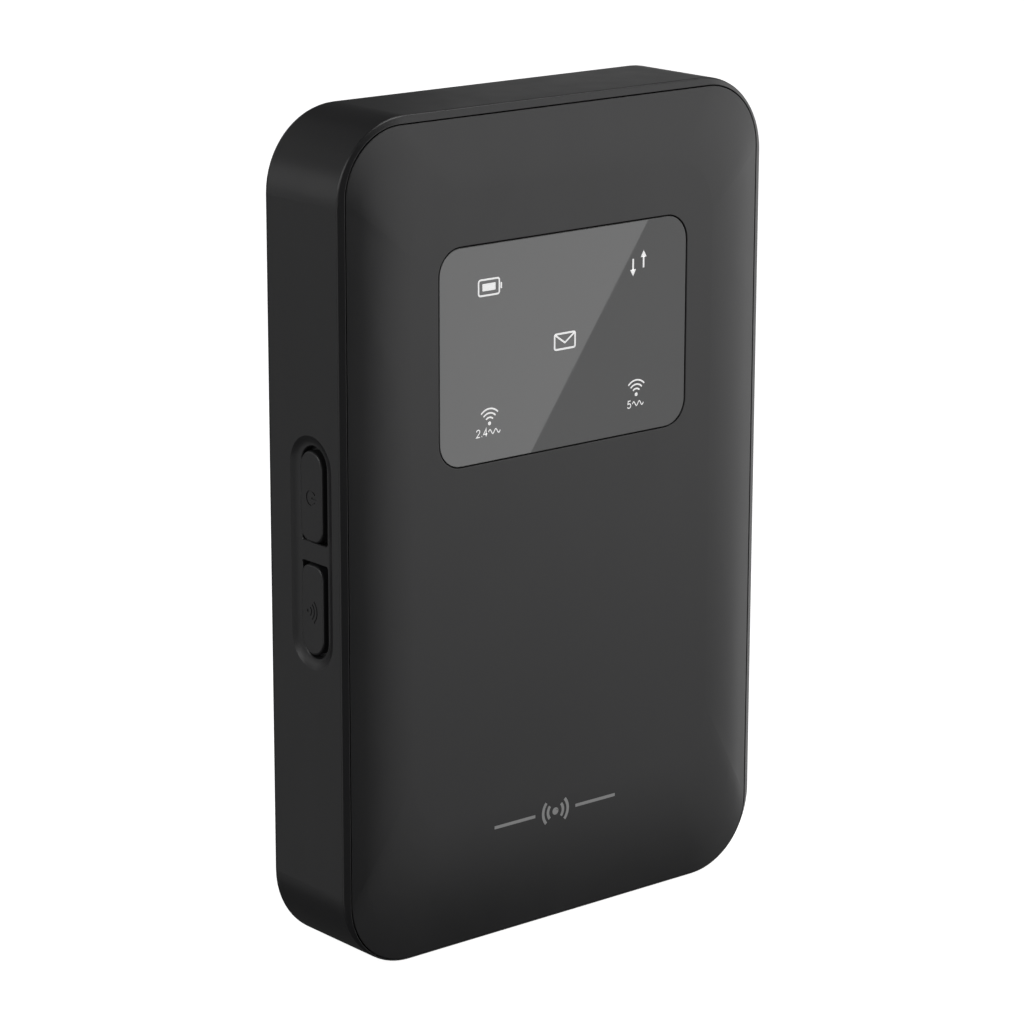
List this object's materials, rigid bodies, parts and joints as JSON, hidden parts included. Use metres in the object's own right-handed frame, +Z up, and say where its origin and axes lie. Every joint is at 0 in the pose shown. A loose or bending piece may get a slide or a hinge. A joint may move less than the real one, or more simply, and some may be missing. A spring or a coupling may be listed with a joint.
{
  "type": "mobile hotspot",
  "caption": "Pocket mobile hotspot: upright slim case with a crowned front, glossy indicator window, push buttons in one side and a snap-off back over a battery.",
  "frame": {"origin": "middle of the foot it stands on, under the centre of the object's box", "axes": "+Z up along the long side; the indicator window faces -Y; the two push buttons are in the -X wall"},
  "size_m": [0.068, 0.0162, 0.106],
  "materials": {
    "case_plastic": "fine spark-eroded texture, soft-touch black",
    "button_plastic": "fine-textured black",
    "smoked_window": "polished smoked acrylic",
    "adhesive_tape": "black foam tape",
    "black_film": "screen-printed black film",
    "white_plastic": "white moulded",
    "led_resin": "clear yellow resin",
    "circuit_board": "green solder mask over glass-fibre laminate",
    "shield_steel": "tin-plated sheet",
    "chip_resin": "moulded epoxy",
    "thermal_silicone": "soft grey-blue gap filler",
    "small_part_ceramic": "chip capacitor body",
    "plated_steel": "nickel-plated sheet",
    "black_nylon": "moulded glass-filled",
    "gold_contact": "gold-plated spring metal",
    "switch_resin": "moulded",
    "flex_copper": "copper under an amber cover film",
    "battery_foil": "aluminium cell can",
    "battery_wrap": "printed plastic wrap",
    "screw_steel": "black-zinc plated"
  },
  "bodies": {
    "chassis": {"front_cover": "case_plastic", "housing": "case_plastic", "housing_screws": "screw_steel", "display_window": "smoked_window", "window_adhesive": "adhesive_tape", "icon_film": "black_film", "light_baffle": "white_plastic", "status_leds": "led_resin", "main_board": "circuit_board", "modem_shield": "shield_steel", "wifi_shield": "shield_steel", "modem_chip": "chip_resin", "memory_chip": "chip_resin", "power_chip": "chip_resin", "radio_chip": "chip_resin", "wifi_chip": "chip_resin", "thermal_pad": "thermal_silicone", "board_small_parts": "small_part_ceramic", "usb_shell": "plated_steel", "usb_tongue": "black_nylon", "sim_holder": "plated_steel", "battery_connector": "black_nylon", "battery_contacts": "gold_contact", "power_switch": "switch_resin", "wifi_switch": "switch_resin", "reset_switch": "switch_resin", "top_antenna_bracket": "black_nylon", "foot_antenna_bracket": "black_nylon", "main_antenna": "flex_copper", "diversity_antenna": "flex_copper", "wifi_antenna": "flex_copper", "antenna_contacts": "gold_contact"},
    "power_button": {"power_button": "button_plastic", "power_switch_plunger": "white_plastic"},
    "wifi_button": {"wifi_button": "button_plastic", "wifi_switch_plunger": "white_plastic"},
    "reset_button": {"reset_button": "white_plastic"},
    "rear_cover": {"rear_cover": "case_plastic"},
    "battery": {"battery_cell": "battery_foil", "battery_label": "battery_wrap", "battery_cap": "black_nylon", "battery_terminals": "gold_contact"}
  },
  "joints": [
    {"name": "power_press", "type": "slide", "parent": "chassis", "child": "power_button", "axis": [1, 0, 0], "range_m": [0, 0.0003], "stiffness_N_per_m": 6000, "springref_m": -0.0001},
    {"name": "wifi_press", "type": "slide", "parent": "chassis", "child": "wifi_button", "axis": [1, 0, 0], "range_m": [0, 0.0003], "stiffness_N_per_m": 6000, "springref_m": -0.0001},
    {"name": "reset_press", "type": "slide", "parent": "chassis", "child": "reset_button", "axis": [0, -1, 0], "range_m": [0, 0.0002], "stiffness_N_per_m": 4000, "springref_m": -0.0001},
    {"name": "cover_lift", "type": "slide", "parent": "chassis", "child": "rear_cover", "axis": [0, 1, 0], "range_m": [0, 0.03]},
    {"name": "battery_lift", "type": "slide", "parent": "chassis", "child": "battery", "axis": [0, 1, 0], "range_m": [0, 0.015]}
  ],
  "couplings": [
    {"joint": "battery_lift", "follows": "cover_lift", "ratio": 0.5}
  ]
}
